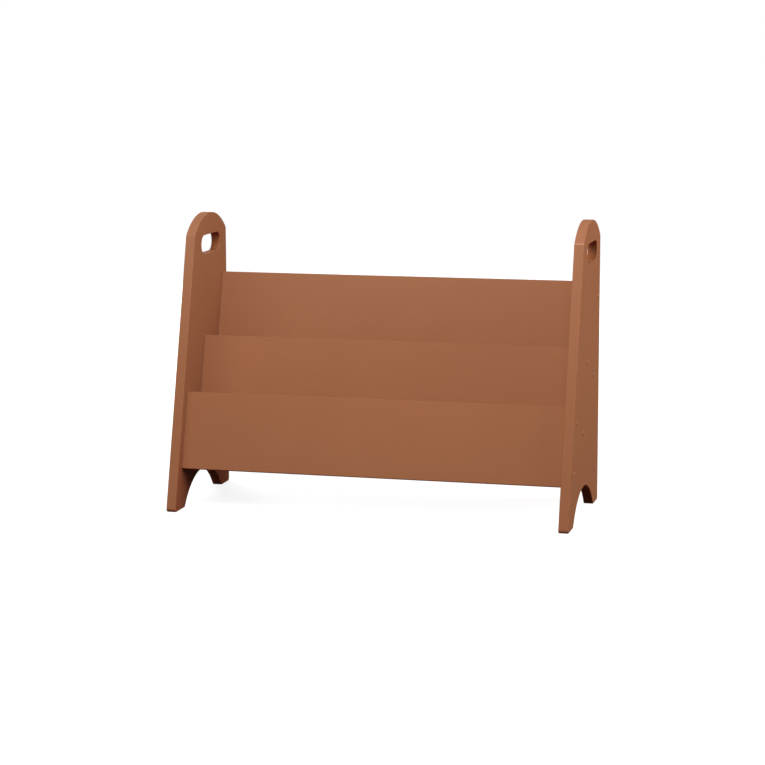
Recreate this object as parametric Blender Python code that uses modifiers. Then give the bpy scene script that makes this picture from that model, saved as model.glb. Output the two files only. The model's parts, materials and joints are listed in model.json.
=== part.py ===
"""Book rack of painted board.

Two end panels carry three leaning boards, one behind the other, and the boards carry two
pocket floors that the books stand on. Screws with caps hold the boards' ends, and dowels
hold the floors.

Sizes are in metres. +X runs to the right end panel, +Y to the back and +Z up. The origin is
on the ground, in the middle of the width and of the depth.
"""

import math
from dataclasses import dataclass

import bmesh
import bpy

# Leaning boards. Heights are measured up the slope of the panels' front edge
LEAN = math.radians(15)
INNER_WIDTH = 0.600
BOARD_THICKNESS = 0.015
FLOOR_THICKNESS = 0.015
FRONT_SETBACK = 0.015
POCKET_DEPTH = 0.050
POCKET_LIP = 0.0375
FRONT_BOARD_BOTTOM = 0.0705
FRONT_BOARD_HEIGHT = 0.120
MIDDLE_BOARD_HEIGHT = 0.150
BACK_BOARD_HEIGHT = 0.165
FLOOR_ARRIS = 0.0005

# End panels
PANEL_THICKNESS = 0.015
OVERALL_HEIGHT = 0.450
CROWN_RISE = 0.030
BACK_EDGE_MARGIN = 0.0045
FRONT_FOOT_LENGTH = 0.045
REAR_FOOT_LENGTH = 0.040
FOOT_ARCH_RISE = 0.046
TOE_RADIUS = 0.005
SHOULDER_RADIUS = 0.006
HAND_SLOT_LENGTH = 0.090
HAND_SLOT_HEIGHT = 0.030
HAND_SLOT_DROP = 0.049
ARRIS_RADIUS = 0.00075

# Screws through the panels into the boards' ends
SCREW_TOP_INSET = 0.022
SCREW_BOTTOM_INSET = 0.020
SCREW_LENGTH = 0.050
SCREW_SHANK_RADIUS = 0.0025
SCREW_HEAD_RADIUS = 0.0037
SCREW_TIP_CHAMFER = 0.0012
SOCKET_ACROSS_FLATS = 0.003
SOCKET_DEPTH = 0.0028

# Caps that cover the screws
CAP_OVERHANG = 0.0003
CAP_RISE = 0.0012
CAP_RIM = 0.0006
CAP_STEM_PLAY = 0.0004
CAP_STEM_TIP_GAP = 0.0009

# Dowels between the floors and the boards
DOWEL_RADIUS = 0.004
DOWEL_CHAMFER = 0.001
DOWEL_BACK_WALL = 0.006
DOWEL_CORE = 0.011
DOWEL_END_INSET = 0.080

# The gap between two pieces that touch
CLEARANCE = 0.0003

# Facets
ARCH_STEPS = 26
CROWN_STEPS = 20
SHOULDER_STEPS = 4
SLOT_END_STEPS = 14
TOE_STEPS = 4
ARRIS_SEGMENTS = 3
CAP_STEPS = 20
CAP_DOME_STEPS = 4
SCREW_STEPS = 14
DOWEL_STEPS = 12
MERGE_DISTANCE = 0.00001
FLAT_ANGLE = math.radians(0.5)

COLOURS = {
    "painted_board": ((0.319, 0.125, 0.060), 0.45, 0.0),
    "painted_cap": ((0.330, 0.130, 0.064), 0.38, 0.0),
    "zinc_steel": ((0.60, 0.60, 0.58), 0.35, 1.0),
    "beech": ((0.55, 0.38, 0.22), 0.70, 0.0),
}


@dataclass
class Row:
    """A leaning board's place: its front face, lower edge and upper edge on the slope."""

    name: str
    front: float
    bottom: float
    top: float

    @property
    def rear(self):
        """The board's rear face."""
        return self.front + BOARD_THICKNESS


@dataclass
class Pocket:
    """A pocket between two rows, with the lower face of its floor."""

    name: str
    before: Row
    behind: Row

    @property
    def bottom(self):
        """The floor's lower face is flush with the board behind it."""
        return self.behind.bottom


def board_rows():
    """The three boards. Each one starts where the floor in front of it does."""
    drop = POCKET_LIP + FLOOR_THICKNESS
    pitch = BOARD_THICKNESS + POCKET_DEPTH
    front_top = FRONT_BOARD_BOTTOM + FRONT_BOARD_HEIGHT
    middle_bottom = front_top - drop
    middle_top = middle_bottom + MIDDLE_BOARD_HEIGHT
    back_bottom = middle_top - drop
    back_top = back_bottom + BACK_BOARD_HEIGHT
    return [
        Row("front", FRONT_SETBACK, FRONT_BOARD_BOTTOM, front_top),
        Row("middle", FRONT_SETBACK + pitch, middle_bottom, middle_top),
        Row("back", FRONT_SETBACK + 2 * pitch, back_bottom, back_top),
    ]


# Worked out from the sizes above
ROWS = board_rows()
POCKETS = [Pocket("front", ROWS[0], ROWS[1]), Pocket("rear", ROWS[1], ROWS[2])]
BACK_CORNER = ROWS[-1].rear * math.cos(LEAN) + ROWS[-1].top * math.sin(LEAN)
BASE_DEPTH = BACK_CORNER + BACK_EDGE_MARGIN
SHOULDER_HEIGHT = OVERALL_HEIGHT - CROWN_RISE
CROWN_DEPTH = BASE_DEPTH - SHOULDER_HEIGHT * math.tan(LEAN)
CAP_RADIUS = SCREW_HEAD_RADIUS + CAP_OVERHANG
CAP_SEAT_DEPTH = CAP_RIM + CLEARANCE
DOWEL_DEPTH_IN_BOARD = BOARD_THICKNESS - DOWEL_BACK_WALL
DOWEL_DEPTH_IN_FLOOR = (POCKET_DEPTH - 2 * CLEARANCE - DOWEL_CORE) / 2
DOWEL_BORE_LENGTH = DOWEL_DEPTH_IN_BOARD + DOWEL_DEPTH_IN_FLOOR + CLEARANCE

# The round front toe trims the foot's sharp corner, and the depth is centred without it
TOE_CENTRE = TOE_RADIUS * (1 + math.sin(LEAN)) / math.cos(LEAN)
BACK_Y = (BASE_DEPTH - TOE_CENTRE + TOE_RADIUS) / 2
FRONT_Y = BACK_Y - BASE_DEPTH


def clear_scene():
    """Remove whatever the file opened with."""
    for item in list(bpy.data.objects):
        bpy.data.objects.remove(item, do_unlink=True)


def new_collection(name):
    """Add a collection to the scene."""
    collection = bpy.data.collections.new(name)
    bpy.context.scene.collection.children.link(collection)
    return collection


def new_material(name):
    """Make a Principled material from the colour table."""
    colour, roughness, metallic = COLOURS[name]
    material = bpy.data.materials.new(name)
    material.use_nodes = True
    shader = material.node_tree.nodes["Principled BSDF"]
    shader.inputs["Base Color"].default_value = (*colour, 1.0)
    shader.inputs["Roughness"].default_value = roughness
    shader.inputs["Metallic"].default_value = metallic
    return material


def arc(centre, radius, start, end, steps):
    """Points on a circle from one angle to another, both ends included."""
    points = []
    for step in range(steps + 1):
        angle = start + (end - start) * step / steps
        points.append((
            centre[0] + radius * math.cos(angle),
            centre[1] + radius * math.sin(angle),
        ))
    return points


def chord_radius(chord, rise):
    """Radius of the circle that rises by the given amount over a chord."""
    return (chord * chord / 4 + rise * rise) / (2 * rise)


def shoulder_centre(crown_centre, crown_radius, distance, facing, side):
    """Centre of the rounding between the crown and a straight edge.

    The edge faces a given angle at a given distance from the crown's centre, and its upper
    end lies to the left (1) or to the right (-1) of that direction.
    """
    outwards = distance - SHOULDER_RADIUS
    inside = crown_radius - SHOULDER_RADIUS
    along = side * math.sqrt(inside * inside - outwards * outwards)
    return (
        crown_centre[0] + outwards * math.cos(facing) - along * math.sin(facing),
        crown_centre[1] + outwards * math.sin(facing) + along * math.cos(facing),
    )


def bearing(start, end):
    """The direction from one point to another, as an angle."""
    return math.atan2(end[1] - start[1], end[0] - start[0])


def panel_outline():
    """The end panel's outline as (y, z) points, anticlockwise from the front toe."""
    toe = TOE_RADIUS
    down = -math.pi / 2
    points = arc((FRONT_Y + TOE_CENTRE, toe), toe, -math.pi - LEAN, down, TOE_STEPS)

    # The foot arch, with its two lower corners rounded into the soles
    chord = BASE_DEPTH - FRONT_FOOT_LENGTH - REAR_FOOT_LENGTH
    arch_radius = chord_radius(chord, FOOT_ARCH_RISE)
    arch_y = FRONT_Y + FRONT_FOOT_LENGTH + chord / 2
    arch_z = FOOT_ARCH_RISE - arch_radius
    heel_reach = math.sqrt((arch_radius + toe) ** 2 - (toe - arch_z) ** 2)
    meeting = math.atan2(toe - arch_z, heel_reach)
    points += arc((arch_y - heel_reach, toe), toe, down, -meeting, TOE_STEPS)
    arch = arc((arch_y, arch_z), arch_radius, math.pi - meeting, meeting, ARCH_STEPS)
    points += arch[1:-1]
    points += arc((arch_y + heel_reach, toe), toe, meeting - math.pi, down, TOE_STEPS)

    points += arc((BACK_Y - toe, toe), toe, down, 0.0, TOE_STEPS)

    # The crown, with a soft shoulder where it meets the back edge and the leaning front edge
    crown_radius = chord_radius(CROWN_DEPTH, CROWN_RISE)
    crown = (BACK_Y - CROWN_DEPTH / 2, OVERALL_HEIGHT - crown_radius)
    to_back = BACK_Y - crown[0]
    to_front = (crown[0] - FRONT_Y) * math.cos(LEAN) - crown[1] * math.sin(LEAN)
    facing_front = math.pi - LEAN
    rear = shoulder_centre(crown, crown_radius, to_back, 0.0, 1)
    front = shoulder_centre(crown, crown_radius, to_front, facing_front, -1)
    rear_turn = bearing(crown, rear)
    front_turn = bearing(crown, front)
    points += arc(rear, SHOULDER_RADIUS, 0.0, rear_turn, SHOULDER_STEPS)
    points += arc(crown, crown_radius, rear_turn, front_turn, CROWN_STEPS)[1:-1]
    points += arc(front, SHOULDER_RADIUS, front_turn, facing_front, SHOULDER_STEPS)
    return points


def slot_outline():
    """The hand slot's outline, a bar with full-round ends, centred under the crown."""
    radius = HAND_SLOT_HEIGHT / 2
    half_straight = HAND_SLOT_LENGTH / 2 - radius
    middle_y = BACK_Y - CROWN_DEPTH / 2
    middle_z = OVERALL_HEIGHT - HAND_SLOT_DROP
    quarter = math.pi / 2
    rear_end = arc((middle_y + half_straight, middle_z), radius, -quarter, quarter,
                   SLOT_END_STEPS)
    front_end = arc((middle_y - half_straight, middle_z), radius, quarter, 3 * quarter,
                    SLOT_END_STEPS)
    return rear_end + front_end


def evaluated_mesh(item, name):
    """The item's finished mesh under a new name. The item itself is removed."""
    graph = bpy.context.evaluated_depsgraph_get()
    mesh = bpy.data.meshes.new_from_object(item.evaluated_get(graph))
    mesh.name = name
    bpy.data.objects.remove(item, do_unlink=True)
    return mesh


def panel_mesh():
    """The panel with its hand slot, lying in the XY plane, with all its edges eased."""
    curve = bpy.data.curves.new("panel_outline", "CURVE")
    curve.dimensions = "2D"
    curve.fill_mode = "BOTH"
    curve.extrude = PANEL_THICKNESS / 2 - ARRIS_RADIUS
    curve.bevel_depth = ARRIS_RADIUS
    curve.bevel_resolution = ARRIS_SEGMENTS - 1
    curve.offset = -ARRIS_RADIUS
    for outline in (panel_outline(), slot_outline()):
        spline = curve.splines.new("POLY")
        spline.points.add(len(outline) - 1)
        for point, (across, up) in zip(spline.points, outline):
            point.co = (across, up, 0.0, 1.0)
        spline.use_cyclic_u = True
    drawn = bpy.data.objects.new("panel_outline", curve)
    bpy.context.scene.collection.objects.link(drawn)
    mesh = evaluated_mesh(drawn, "end_panel")

    # The caps are loose and cut into triangles, so they are welded and made flat again
    shape = bmesh.new()
    shape.from_mesh(mesh)
    bmesh.ops.remove_doubles(shape, verts=shape.verts, dist=MERGE_DISTANCE)
    bmesh.ops.dissolve_limit(
        shape, angle_limit=FLAT_ANGLE, verts=shape.verts, edges=shape.edges
    )
    bmesh.ops.recalc_face_normals(shape, faces=shape.faces)
    shape.to_mesh(mesh)
    shape.free()
    return mesh


def turned_mesh(name, profile, steps):
    """Turn a profile of (radius, height) points, top to bottom, about the Z axis."""
    mesh = bpy.data.meshes.new(name)
    corners = [(radius, 0.0, height) for radius, height in profile]
    lines = [(index, index + 1) for index in range(len(corners) - 1)]
    mesh.from_pydata(corners, lines, [])
    item = bpy.data.objects.new(name, mesh)
    bpy.context.scene.collection.objects.link(item)
    turn = item.modifiers.new("turn", "SCREW")
    turn.axis = "Z"
    turn.angle = 2 * math.pi
    turn.steps = steps
    turn.render_steps = steps
    turn.use_merge_vertices = True
    turn.merge_threshold = MERGE_DISTANCE
    return evaluated_mesh(item, name)


def screw_mesh():
    """A countersunk connector screw with a hex socket. Z is 0 at the panel's outer face."""
    top = -CAP_SEAT_DEPTH
    cone = SCREW_HEAD_RADIUS - SCREW_SHANK_RADIUS
    tip = top - SCREW_LENGTH
    profile = [
        (0.0, top),
        (SCREW_HEAD_RADIUS, top),
        (SCREW_SHANK_RADIUS, top - cone),
        (SCREW_SHANK_RADIUS, tip + SCREW_TIP_CHAMFER),
        (SCREW_SHANK_RADIUS - SCREW_TIP_CHAMFER, tip),
        (0.0, tip),
    ]
    blank = bpy.data.objects.new("screw_blank",
                                 turned_mesh("screw_blank", profile, SCREW_STEPS))
    bpy.context.scene.collection.objects.link(blank)
    bpy.ops.mesh.primitive_cylinder_add(
        vertices=6,
        radius=SOCKET_ACROSS_FLATS / math.sqrt(3),
        depth=2 * SOCKET_DEPTH,
        location=(0.0, 0.0, top),
    )
    socket = bpy.context.object
    cut(blank, socket)
    mesh = evaluated_mesh(blank, "connector_screw")
    bpy.data.objects.remove(socket, do_unlink=True)
    return mesh


def screw_bore_mesh():
    """The space that a screw and its cap take up, with their clearance all round."""
    open_end = CAP_RISE + CLEARANCE
    seat_radius = CAP_RADIUS + CLEARANCE
    head_radius = SCREW_HEAD_RADIUS + CLEARANCE
    bore_radius = SCREW_SHANK_RADIUS + CLEARANCE
    cone = head_radius - bore_radius
    end = -CAP_SEAT_DEPTH - SCREW_LENGTH - CLEARANCE
    profile = [
        (0.0, open_end),
        (seat_radius, open_end),
        (seat_radius, -CAP_SEAT_DEPTH),
        (head_radius, -CAP_SEAT_DEPTH),
        (bore_radius, -CAP_SEAT_DEPTH - cone),
        (bore_radius, end),
        (0.0, end),
    ]
    return turned_mesh("screw_bore", profile, SCREW_STEPS)


def cap_mesh():
    """A domed cap with a rim, and a stem that goes into the screw's socket."""
    dome_radius = chord_radius(2 * CAP_RADIUS, CAP_RISE)
    dome_centre = (0.0, CAP_RISE - dome_radius)
    edge = math.asin(-dome_centre[1] / dome_radius)
    stem_radius = SOCKET_ACROSS_FLATS / 2 - CAP_STEM_PLAY
    stem_tip = CAP_STEM_TIP_GAP - CAP_SEAT_DEPTH - SOCKET_DEPTH
    profile = arc(dome_centre, dome_radius, math.pi / 2, edge, CAP_DOME_STEPS)
    profile += [
        (CAP_RADIUS, -CAP_RIM),
        (stem_radius, -CAP_RIM),
        (stem_radius, stem_tip),
        (0.0, stem_tip),
    ]
    return turned_mesh("screw_cap", profile, CAP_STEPS)


def dowel_mesh():
    """A dowel with chamfered ends, centred on the origin along Z."""
    half = DOWEL_BORE_LENGTH / 2 - CLEARANCE
    profile = [
        (0.0, half),
        (DOWEL_RADIUS - DOWEL_CHAMFER, half),
        (DOWEL_RADIUS, half - DOWEL_CHAMFER),
        (DOWEL_RADIUS, DOWEL_CHAMFER - half),
        (DOWEL_RADIUS - DOWEL_CHAMFER, -half),
        (0.0, -half),
    ]
    return turned_mesh("dowel", profile, DOWEL_STEPS)


def dowel_bore_mesh():
    """The space that a dowel takes up, with its clearance all round."""
    half = DOWEL_BORE_LENGTH / 2
    radius = DOWEL_RADIUS + CLEARANCE
    profile = [(0.0, half), (radius, half), (radius, -half), (0.0, -half)]
    return turned_mesh("dowel_bore", profile, DOWEL_STEPS)


def cut(item, cutter):
    """Cut one cutter out of a piece."""
    boolean = item.modifiers.new(cutter.name, "BOOLEAN")
    boolean.operation = "DIFFERENCE"
    boolean.solver = "MANIFOLD"
    boolean.object = cutter


class Rack:
    """The rack's pieces, with the empty that holds whatever leans with the front edge."""

    def __init__(self):
        self.pieces = new_collection("book_rack")
        self.cutters = new_collection("cutters")
        self.materials = {name: new_material(name) for name in COLOURS}
        self.panels = {}
        self.boards = {}
        self.slope = bpy.data.objects.new("slope", None)
        self.pieces.objects.link(self.slope)
        self.slope.location = (0.0, FRONT_Y, 0.0)
        self.slope.rotation_euler = (-LEAN, 0.0, 0.0)

    def place(self, name, mesh, material, location, rotation, parent):
        """Put a mesh in the rack as a piece of its own."""
        item = bpy.data.objects.new(name, mesh)
        self.pieces.objects.link(item)
        item.parent = parent
        item.location = location
        item.rotation_euler = rotation
        if not mesh.materials:
            mesh.materials.append(self.materials[material])
        return item

    def bore(self, name, mesh, location, rotation, pieces):
        """Cut a bore through the pieces that it joins."""
        cutter = bpy.data.objects.new(name, mesh)
        self.cutters.objects.link(cutter)
        cutter.parent = self.slope
        cutter.location = location
        cutter.rotation_euler = rotation
        cutter.hide_render = True
        cutter.display_type = "WIRE"
        for piece in pieces:
            cut(piece, cutter)

    def add_panels(self):
        """The two end panels, upright."""
        mesh = panel_mesh()
        reach = (INNER_WIDTH + PANEL_THICKNESS) / 2
        upright = (math.pi / 2, 0.0, math.pi / 2)
        for side, sign in (("left", -1), ("right", 1)):
            self.panels[side] = self.place(f"{side}_side_panel", mesh, "painted_board",
                                           (sign * reach, 0.0, 0.0), upright, None)

    def add_plank(self, name, front, bottom, depth, height, arris):
        """A straight plank between the panels, with its long edges eased."""
        bpy.ops.mesh.primitive_cube_add(size=1.0)
        item = bpy.context.object
        item.name = name
        for owner in list(item.users_collection):
            owner.objects.unlink(item)
        self.pieces.objects.link(item)
        item.scale = (INNER_WIDTH - 2 * CLEARANCE, depth, height)
        bpy.ops.object.transform_apply(location=False, rotation=False, scale=True)
        item.parent = self.slope
        item.location = (0.0, front + depth / 2, bottom + height / 2)
        item.data.materials.append(self.materials["painted_board"])

        shape = bmesh.new()
        shape.from_mesh(item.data)
        weight = shape.edges.layers.float.new("bevel_weight_edge")
        for edge in shape.edges:
            run = edge.verts[0].co - edge.verts[1].co
            edge[weight] = 1.0 if abs(run.x) > abs(run.y) + abs(run.z) else 0.0
        shape.to_mesh(item.data)
        shape.free()

        easing = item.modifiers.new("arris", "BEVEL")
        easing.width = arris
        easing.segments = ARRIS_SEGMENTS
        easing.limit_method = "WEIGHT"
        return item

    def add_boards(self):
        """The three leaning boards."""
        for row in ROWS:
            self.boards[row.name] = self.add_plank(
                f"{row.name}_board", row.front, row.bottom,
                BOARD_THICKNESS, row.top - row.bottom, ARRIS_RADIUS)

    def add_screws(self):
        """Two screws with caps at each end of each board, and the bores that take them."""
        screw = screw_mesh()
        cap = cap_mesh()
        bore = screw_bore_mesh()
        outer_face = INNER_WIDTH / 2 + PANEL_THICKNESS
        for side, sign in (("left", -1), ("right", 1)):
            turn = (0.0, sign * math.pi / 2, 0.0)
            for row in ROWS:
                heights = {
                    "lower": row.bottom + SCREW_BOTTOM_INSET,
                    "upper": row.top - SCREW_TOP_INSET,
                }
                for level, height in heights.items():
                    spot = (sign * outer_face, (row.front + row.rear) / 2, height)
                    label = f"{side}_{row.name}_{level}"
                    self.place(f"screw_{label}", screw, "zinc_steel", spot, turn, self.slope)
                    self.place(f"cap_{label}", cap, "painted_cap", spot, turn, self.slope)
                    joined = (self.panels[side], self.boards[row.name])
                    self.bore(f"bore_{label}", bore, spot, turn, joined)

    def add_floors(self):
        """A floor in each pocket, dowelled to the board before it and the board behind."""
        dowel = dowel_mesh()
        bore = dowel_bore_mesh()
        depth = POCKET_DEPTH - 2 * CLEARANCE
        shift = DOWEL_BORE_LENGTH / 2 - DOWEL_DEPTH_IN_BOARD
        reach = INNER_WIDTH / 2 - DOWEL_END_INSET
        turn = (math.pi / 2, 0.0, 0.0)
        for pocket in POCKETS:
            start = pocket.before.rear + CLEARANCE
            floor = self.add_plank(f"{pocket.name}_pocket_floor", start, pocket.bottom,
                                   depth, FLOOR_THICKNESS, FLOOR_ARRIS)
            height = pocket.bottom + FLOOR_THICKNESS / 2
            joints = (
                (pocket.before, pocket.before.rear + shift),
                (pocket.behind, pocket.behind.front - shift),
            )
            for row, inwards in joints:
                for end, across in (("left", -reach), ("centre", 0.0), ("right", reach)):
                    spot = (across, inwards, height)
                    label = f"{pocket.name}_floor_{row.name}_{end}"
                    self.place(f"dowel_{label}", dowel, "beech", spot, turn, self.slope)
                    joined = (floor, self.boards[row.name])
                    self.bore(f"bore_{label}", bore, spot, turn, joined)


def main():
    """Model the whole rack."""
    clear_scene()
    rack = Rack()
    rack.add_panels()
    rack.add_boards()
    rack.add_screws()
    rack.add_floors()


if __name__ == "__main__":
    main()
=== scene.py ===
"""Book rack of painted board, dressed and set up for its picture.

Two end panels with a hand slot and a foot arch carry three leaning boards and the two pocket
floors between them. Caps cover the screws that hold the boards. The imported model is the
frame, so every piece here stands exactly where its node stands.

Sizes are in metres. +X runs to the right end panel, +Y to the back and +Z up.
"""

from __future__ import annotations

import json
import logging
import math
from dataclasses import dataclass, field
from enum import Enum
from typing import Any, Callable, Sequence

import bmesh
import bpy
from mathutils import Matrix, Vector

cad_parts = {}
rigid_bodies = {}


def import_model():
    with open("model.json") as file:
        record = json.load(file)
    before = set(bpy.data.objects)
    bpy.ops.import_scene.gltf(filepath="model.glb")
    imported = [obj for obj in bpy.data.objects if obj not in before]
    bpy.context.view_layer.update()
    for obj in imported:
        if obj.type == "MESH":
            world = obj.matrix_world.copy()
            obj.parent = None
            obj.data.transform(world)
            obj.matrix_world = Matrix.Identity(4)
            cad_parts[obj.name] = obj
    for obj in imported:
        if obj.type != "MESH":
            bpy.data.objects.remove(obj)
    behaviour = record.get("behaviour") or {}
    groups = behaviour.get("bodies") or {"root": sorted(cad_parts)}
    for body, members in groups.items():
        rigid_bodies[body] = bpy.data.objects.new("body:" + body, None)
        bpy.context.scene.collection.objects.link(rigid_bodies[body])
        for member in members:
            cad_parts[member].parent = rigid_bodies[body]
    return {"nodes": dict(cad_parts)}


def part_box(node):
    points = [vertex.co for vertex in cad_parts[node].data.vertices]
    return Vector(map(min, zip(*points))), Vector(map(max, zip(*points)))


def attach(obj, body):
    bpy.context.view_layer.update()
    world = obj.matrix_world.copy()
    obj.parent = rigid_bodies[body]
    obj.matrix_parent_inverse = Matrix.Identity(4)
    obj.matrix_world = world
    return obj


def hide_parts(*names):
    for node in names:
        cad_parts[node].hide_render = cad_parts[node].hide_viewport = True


LOG = logging.getLogger("book_rack")
BODY = "root"  # the only body, because nothing moves
LEAN = math.radians(15)  # how far the boards and the panels' front edges lean back
QUARTER_TURN = math.pi / 2
Z_AXIS = (0.0, 0.0, 1.0)
WHITE = (1.0, 1.0, 1.0, 1.0)
WELD = 0.00001  # points nearer than this are merged
DOT = 0.001  # the plane that a drawing's first point is made from
SMOOTH_ANGLE = math.radians(32)  # edges that turn more stay sharp
FLAT_FACE = 0.9  # how squarely a face looks across its board unless it is an edge
FRAME_TOLERANCE = 0.0002  # how far a piece's box may be off its node's

Colour = tuple[float, float, float]
Place = tuple[float, float, float]
Point = tuple[float, float]
Span = tuple[float, float]


class Side(Enum):
    """An end of the rack, with the sign of its X."""

    LEFT = -1
    RIGHT = 1

    @property
    def word(self) -> str:
        """The side's name as the nodes spell it."""
        return self.name.lower()


class Slot(Enum):
    """The finishes that the record knows."""

    PAINTED_BOARD = "painted_board"
    PAINTED_CAP = "painted_cap"
    ZINC_STEEL = "zinc_steel"
    BEECH = "beech"


class Mark(Enum):
    """The marks on a mesh's faces that the paint reads."""

    CUT_EDGE = "cut_edge"
    # where a paler tone is a painted highlight
    PAINTED_HIGHLIGHT = "painted_highlight"
    # where a darker, browner tone is painted shade in the hand slots
    SLOT_SHADE = "slot_shade"


# Hand tools


def start_fresh() -> None:
    """Leave edit mode and drop the selection."""
    if bpy.context.object is not None and bpy.context.object.mode != "OBJECT":
        bpy.ops.object.mode_set(mode="OBJECT")
    bpy.ops.object.select_all(action="DESELECT")


def pick(*items: bpy.types.Object) -> None:
    """Select just these objects, and make the first one active.

    Args:
        items: The objects to work on.
    """
    start_fresh()
    for item in items:
        item.select_set(True)
    bpy.context.view_layer.objects.active = items[0]


def named(name: str) -> bpy.types.Object:
    """Name the active object and its mesh.

    Args:
        name: The piece's name.

    Returns:
        The active object.
    """
    item = bpy.context.object
    item.name = name
    item.data.name = name
    return item


def edit_all(item: bpy.types.Object) -> None:
    """Open the item in edit mode with everything selected.

    Args:
        item: The piece.
    """
    pick(item)
    bpy.ops.object.mode_set(mode="EDIT")
    bpy.ops.mesh.select_mode(type="VERT")
    bpy.ops.mesh.select_all(action="SELECT")


def edit_edges(item: bpy.types.Object, wanted: Callable[[bmesh.types.BMEdge], bool]) -> None:
    """Open the item in edit mode with some of its edges selected.

    Args:
        item: The piece.
        wanted: Says whether an edge is to be selected.
    """
    edit_all(item)
    bpy.ops.mesh.select_mode(type="EDGE")
    bpy.ops.mesh.select_all(action="DESELECT")
    shape = bmesh.from_edit_mesh(item.data)
    for edge in shape.edges:
        if wanted(edge):
            edge.select_set(True)
    bmesh.update_edit_mesh(item.data)


def weld(item: bpy.types.Object) -> None:
    """Merge the item's doubles and point its faces outwards.

    Args:
        item: The piece.
    """
    edit_all(item)
    bpy.ops.mesh.remove_doubles(threshold=WELD)
    bpy.ops.mesh.normals_make_consistent(inside=False)
    bpy.ops.object.mode_set(mode="OBJECT")


def apply_place(item: bpy.types.Object) -> None:
    """Move the item's place, turn and scale into its mesh."""
    pick(item)
    bpy.ops.object.transform_apply(location=True, rotation=True, scale=True)


def apply_modifier(item: bpy.types.Object, kind: str, **settings: Any) -> None:
    """Add a modifier and apply it.

    Args:
        item: The piece.
        kind: The modifier's type.
        settings: Its properties.
    """
    pick(item)
    modifier = item.modifiers.new(kind.lower(), kind)
    for key, value in settings.items():
        setattr(modifier, key, value)
    bpy.ops.object.modifier_apply(modifier=modifier.name)


def cut(item: bpy.types.Object, cutter: bpy.types.Object) -> None:
    """Cut a cutter out of a piece."""
    apply_modifier(item, "BOOLEAN", operation="DIFFERENCE", solver="MANIFOLD", object=cutter)


def copy_of(item: bpy.types.Object, name: str) -> bpy.types.Object:
    """Copy a piece with a mesh of its own.

    Args:
        item: The piece to copy.
        name: The copy's name.

    Returns:
        The copy.
    """
    pick(item)
    bpy.ops.object.duplicate(linked=False)
    return named(name)


def join(name: str, *items: bpy.types.Object) -> bpy.types.Object:
    """Join objects into one.

    Args:
        name: The new name.
        items: The objects.

    Returns:
        The joined object.
    """
    pick(*items)
    bpy.ops.object.join()
    return named(name)


def delete(*items: bpy.types.Object) -> None:
    """Delete cutters and patterns that have done their work."""
    pick(*items)
    bpy.ops.object.delete()


def soften(item: bpy.types.Object) -> None:
    """Shade the eased edges smooth and keep the flat faces flat.

    Args:
        item: The piece.
    """
    pick(item)
    bpy.ops.object.shade_smooth_by_angle(angle=SMOOTH_ANGLE)
    apply_modifier(item, "WEIGHTED_NORMAL", mode="FACE_AREA", keep_sharp=True)


def mark_faces(item: bpy.types.Object, mark: Mark,
               strength: Callable[[bpy.types.MeshPolygon], float]) -> None:
    """Give every face of a piece a mark.

    Args:
        item: The piece.
        mark: The kind of mark.
        strength: Works out how strong it is on a face, from 0 to 1.
    """
    marks = item.data.attributes.new(mark.value, "FLOAT", "FACE")
    for face, entry in zip(item.data.polygons, marks.data):
        entry.value = strength(face)


def mark_edges(item: bpy.types.Object, across: Vector) -> None:
    """Mark the faces that show the board's cut edge.

    Args:
        item: The piece.
        across: The direction of its thickness.
    """
    mark_faces(item, Mark.CUT_EDGE,
               lambda face: 0.0 if abs(face.normal.dot(across)) > FLAT_FACE else 1.0)


class Pencil:
    """A line that is drawn in the XY plane by extruding and spinning its last point."""

    def __init__(self, name: str, start: Point) -> None:
        """Put down the first point.

        Args:
            name: The line's name.
            start: Where it starts.
        """
        start_fresh()
        bpy.ops.mesh.primitive_plane_add(size=DOT, location=(*start, 0.0))
        self.item = named(name)
        apply_place(self.item)
        edit_all(self.item)
        bpy.ops.mesh.merge(type="CENTER")
        self.at = start

    def line(self, end: Point) -> None:
        """Draw a straight run.

        Args:
            end: The point it runs to.
        """
        step = (end[0] - self.at[0], end[1] - self.at[1], 0.0)
        bpy.ops.mesh.extrude_region_move(TRANSFORM_OT_translate={"value": step})
        self.at = end

    def arc(self, centre: Point, turn: float, steps: int) -> None:
        """Draw an arc about a centre.

        Args:
            centre: The arc's centre.
            turn: How far it turns, anticlockwise above zero.
            steps: Its number of segments.
        """
        bpy.ops.mesh.spin(steps=steps, angle=-turn, center=(*centre, 0.0), axis=Z_AXIS)
        x, y = self.at[0] - centre[0], self.at[1] - centre[1]
        cos, sin = math.cos(turn), math.sin(turn)
        self.at = (centre[0] + x * cos - y * sin, centre[1] + x * sin + y * cos)

    def lift(self) -> bpy.types.Object:
        """Close the drawing.

        Returns:
            The object that holds the line.
        """
        bpy.ops.mesh.select_all(action="SELECT")
        bpy.ops.mesh.remove_doubles(threshold=WELD)
        bpy.ops.object.mode_set(mode="OBJECT")
        return self.item


def revolve(item: bpy.types.Object, steps: int) -> None:
    """Stand a drawing up and turn it once about the Z axis.

    Args:
        item: The drawing, with the radius along X and the height along Y.
        steps: The number of segments round.
    """
    item.rotation_euler = (QUARTER_TURN, 0.0, 0.0)
    apply_place(item)
    edit_all(item)
    bpy.ops.mesh.spin(steps=steps, angle=2 * math.pi, center=(0.0, 0.0, 0.0), axis=Z_AXIS)
    bpy.ops.object.mode_set(mode="OBJECT")
    weld(item)


def turned(name: str, profile: Sequence[Point], steps: int) -> bpy.types.Object:
    """Turn a profile of (radius, height) points about the Z axis.

    Args:
        name: The new object's name.
        profile: The points, from the top of the axis to its foot.
        steps: The number of segments round.

    Returns:
        The turned solid.
    """
    pencil = Pencil(name, profile[0])
    for point in profile[1:]:
        pencil.line(point)
    item = pencil.lift()
    revolve(item, steps)
    return item


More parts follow.
